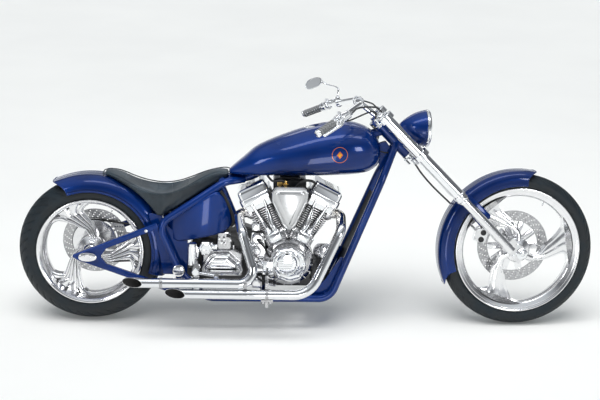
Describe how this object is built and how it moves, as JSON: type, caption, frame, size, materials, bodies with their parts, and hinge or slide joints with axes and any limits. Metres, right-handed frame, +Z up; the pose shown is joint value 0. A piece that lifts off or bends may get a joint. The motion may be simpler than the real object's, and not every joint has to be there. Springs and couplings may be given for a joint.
{
  "type": "chopper motorcycle",
  "caption": "Long custom chopper with a raked fork, stretched fuel tank, wide rear wheel and vee-twin engine, leaning on its side stand.",
  "frame": {"origin": "on the floor under the middle of the leaning machine's box", "axes": "+X forward along the machine, +Y to the rider's left, +Z up from the floor; the machine leans 6 degrees to +Y on its stand, with the steering turned 4 degrees to the left"},
  "size_m": [2.6164, 0.7855, 1.0461],
  "materials": {
    "paint_blue": "gloss",
    "chrome": "polished",
    "billet": "polished",
    "black_coat": "satin",
    "steel": "satin",
    "tyre": "matte",
    "rubber": "matte",
    "leather": "satin",
    "glass": "gloss",
    "mirror": "gloss"
  },
  "bodies": {
    "frame": {"frame": "paint_blue", "rear_struts": "paint_blue", "rear_axle": "steel", "frame_caps": "chrome", "fuel_tank": "paint_blue", "tank_cap": "chrome", "seat": "leather", "rear_fender": "paint_blue", "side_tank": "paint_blue", "crankcase": "billet", "cam_cover": "chrome", "cylinders": "black_coat", "rocker_boxes": "chrome", "push_rod_tubes": "chrome", "carburettor": "black_coat", "air_cleaner": "chrome", "exhaust_pipes": "chrome", "exhaust_hanger": "chrome", "gearbox": "billet", "gearbox_cover": "chrome", "primary_cover": "chrome", "drive_belt": "rubber", "rear_caliper": "chrome", "foot_controls": "chrome", "stand_pin": "steel"},
    "steering": {"triple_clamps": "chrome", "fork_tubes": "chrome", "fork_legs": "chrome", "front_axle": "steel", "handlebar": "chrome", "grips": "rubber", "hand_controls": "chrome", "mirror": "chrome", "mirror_glass": "mirror", "headlight_shell": "paint_blue", "headlight_bezel": "chrome", "headlight_lens": "glass", "front_fender": "paint_blue", "front_caliper": "chrome", "brake_hose": "rubber", "control_cables": "rubber"},
    "front_wheel": {"front_tyre": "tyre", "front_rim": "billet", "front_brake_disc": "steel"},
    "rear_wheel": {"rear_tyre": "tyre", "rear_rim": "billet", "rear_brake_disc": "steel", "rear_pulley": "billet"},
    "side_stand": {"side_stand": "chrome"}
  },
  "joints": [
    {"name": "steering_turn", "type": "hinge", "parent": "frame", "child": "steering", "pos_m": [0.37867, 0.00695, 0.8463], "axis": [-0.7071, 0.0739, 0.7032], "range_deg": [-34, 26]},
    {"name": "front_wheel_spin", "type": "hinge", "parent": "steering", "child": "front_wheel", "pos_m": [0.9584, -0.04172, 0.34651], "axis": [-0.0493, 0.9869, -0.1533], "continuous": true},
    {"name": "rear_wheel_spin", "type": "hinge", "parent": "frame", "child": "rear_wheel", "pos_m": [-0.9815, -0.04776, 0.32573], "axis": [0, 0.9945, -0.1045], "continuous": true},
    {"name": "side_stand_fold", "type": "hinge", "parent": "frame", "child": "side_stand", "pos_m": [-0.2215, 0.10872, 0.13078], "axis": [0.0905, 0.7439, 0.6621], "range_deg": [0, 103]}
  ]
}
